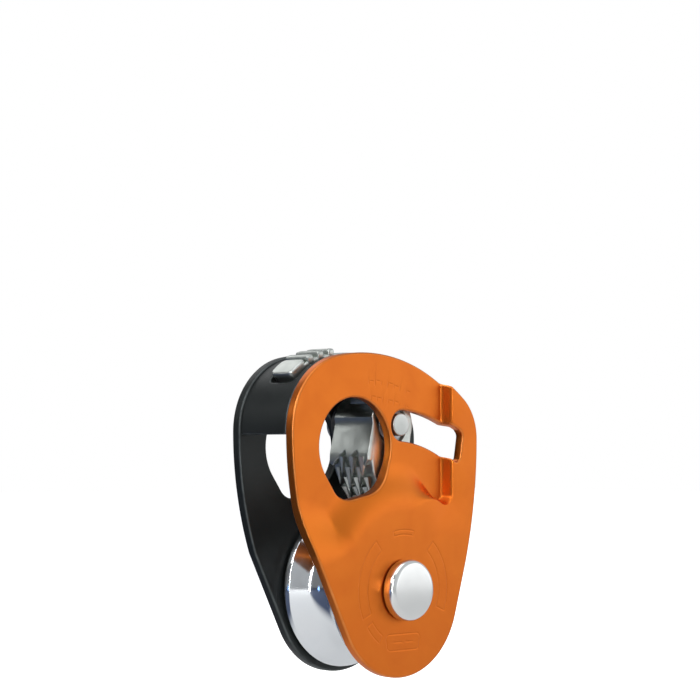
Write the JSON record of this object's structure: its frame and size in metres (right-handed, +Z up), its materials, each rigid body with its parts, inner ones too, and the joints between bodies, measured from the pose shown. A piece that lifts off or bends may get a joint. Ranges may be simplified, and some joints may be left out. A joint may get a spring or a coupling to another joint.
{
  "type": "rope pulley",
  "caption": "Rope pulley with a swinging side plate, a ball-bearing sheave, an egg-shaped connector eye and a sprung toothed cam that holds the rope one way.",
  "frame": {"origin": "centre of the round part of the connector eye, midway between the outer faces of the two side plates", "axes": "+Z up from the sheave to the eye, the way the pulley hangs; +Y along the sheave's axis, from the swinging plate in front to the fixed plate behind"},
  "size_m": [0.0523, 0.0262, 0.0696],
  "materials": {
    "black_anodised": "satin black anodised aluminium with lighter worn edges",
    "orange_anodised": "satin orange anodised aluminium",
    "polished_aluminium": "turned and polished",
    "bright_steel": "bright, softly rounded",
    "cast_cam_steel": "satin cast stainless steel",
    "bearing_steel": "ground",
    "spring_steel": "drawn wire",
    "seal_rubber": "matt",
    "cage_nylon": "moulded",
    "washer_polymer": "moulded"
  },
  "bodies": {
    "frame": {"fixed_side_plate": "black_anodised", "sheave_axle": "bright_steel", "front_thrust_washer": "washer_polymer", "rear_thrust_washer": "washer_polymer", "bearing_spacer": "bright_steel", "front_bearing_inner_ring": "bearing_steel", "rear_bearing_inner_ring": "bearing_steel", "cam_axle": "bright_steel", "cam_retaining_ring": "spring_steel", "cam_rear_washer": "washer_polymer", "cam_spring": "spring_steel"},
    "swing_plate": {"swing_side_plate": "orange_anodised"},
    "sheave": {"sheave": "polished_aluminium", "front_bearing_outer_ring": "bearing_steel", "rear_bearing_outer_ring": "bearing_steel", "front_bearing_front_seal": "seal_rubber", "front_bearing_rear_seal": "seal_rubber", "rear_bearing_front_seal": "seal_rubber", "rear_bearing_rear_seal": "seal_rubber"},
    "front_ball_cage": {"front_bearing_cage": "cage_nylon", "front_bearing_ball_1": "bearing_steel", "front_bearing_ball_2": "bearing_steel", "front_bearing_ball_3": "bearing_steel", "front_bearing_ball_4": "bearing_steel", "front_bearing_ball_5": "bearing_steel", "front_bearing_ball_6": "bearing_steel", "front_bearing_ball_7": "bearing_steel", "front_bearing_ball_8": "bearing_steel"},
    "rear_ball_cage": {"rear_bearing_cage": "cage_nylon", "rear_bearing_ball_1": "bearing_steel", "rear_bearing_ball_2": "bearing_steel", "rear_bearing_ball_3": "bearing_steel", "rear_bearing_ball_4": "bearing_steel", "rear_bearing_ball_5": "bearing_steel", "rear_bearing_ball_6": "bearing_steel", "rear_bearing_ball_7": "bearing_steel", "rear_bearing_ball_8": "bearing_steel"},
    "cam": {"cam": "cast_cam_steel"}
  },
  "joints": [
    {"name": "swing_plate_opening", "type": "hinge", "parent": "frame", "child": "swing_plate", "pos_m": [0.0114, 0, -0.0301], "axis": [0, -1, 0], "range_deg": [0, 150]},
    {"name": "sheave_spin", "type": "hinge", "parent": "frame", "child": "sheave", "pos_m": [0.0114, 0, -0.0301], "axis": [0, 1, 0], "continuous": true},
    {"name": "front_cage_spin", "type": "hinge", "parent": "frame", "child": "front_ball_cage", "pos_m": [0.0114, 0, -0.0301], "axis": [0, 1, 0], "continuous": true},
    {"name": "rear_cage_spin", "type": "hinge", "parent": "frame", "child": "rear_ball_cage", "pos_m": [0.0114, 0, -0.0301], "axis": [0, 1, 0], "continuous": true},
    {"name": "cam_lift", "type": "hinge", "parent": "frame", "child": "cam", "pos_m": [0.01353, 0, 0.00473], "axis": [0, 1, 0], "range_deg": [0, 26], "stiffness_Nm_per_rad": 0.01, "springref_deg": -45.84}
  ],
  "couplings": [
    {"joint": "front_cage_spin", "follows": "sheave_spin", "ratio": 0.5862},
    {"joint": "rear_cage_spin", "follows": "sheave_spin", "ratio": 0.5862}
  ]
}
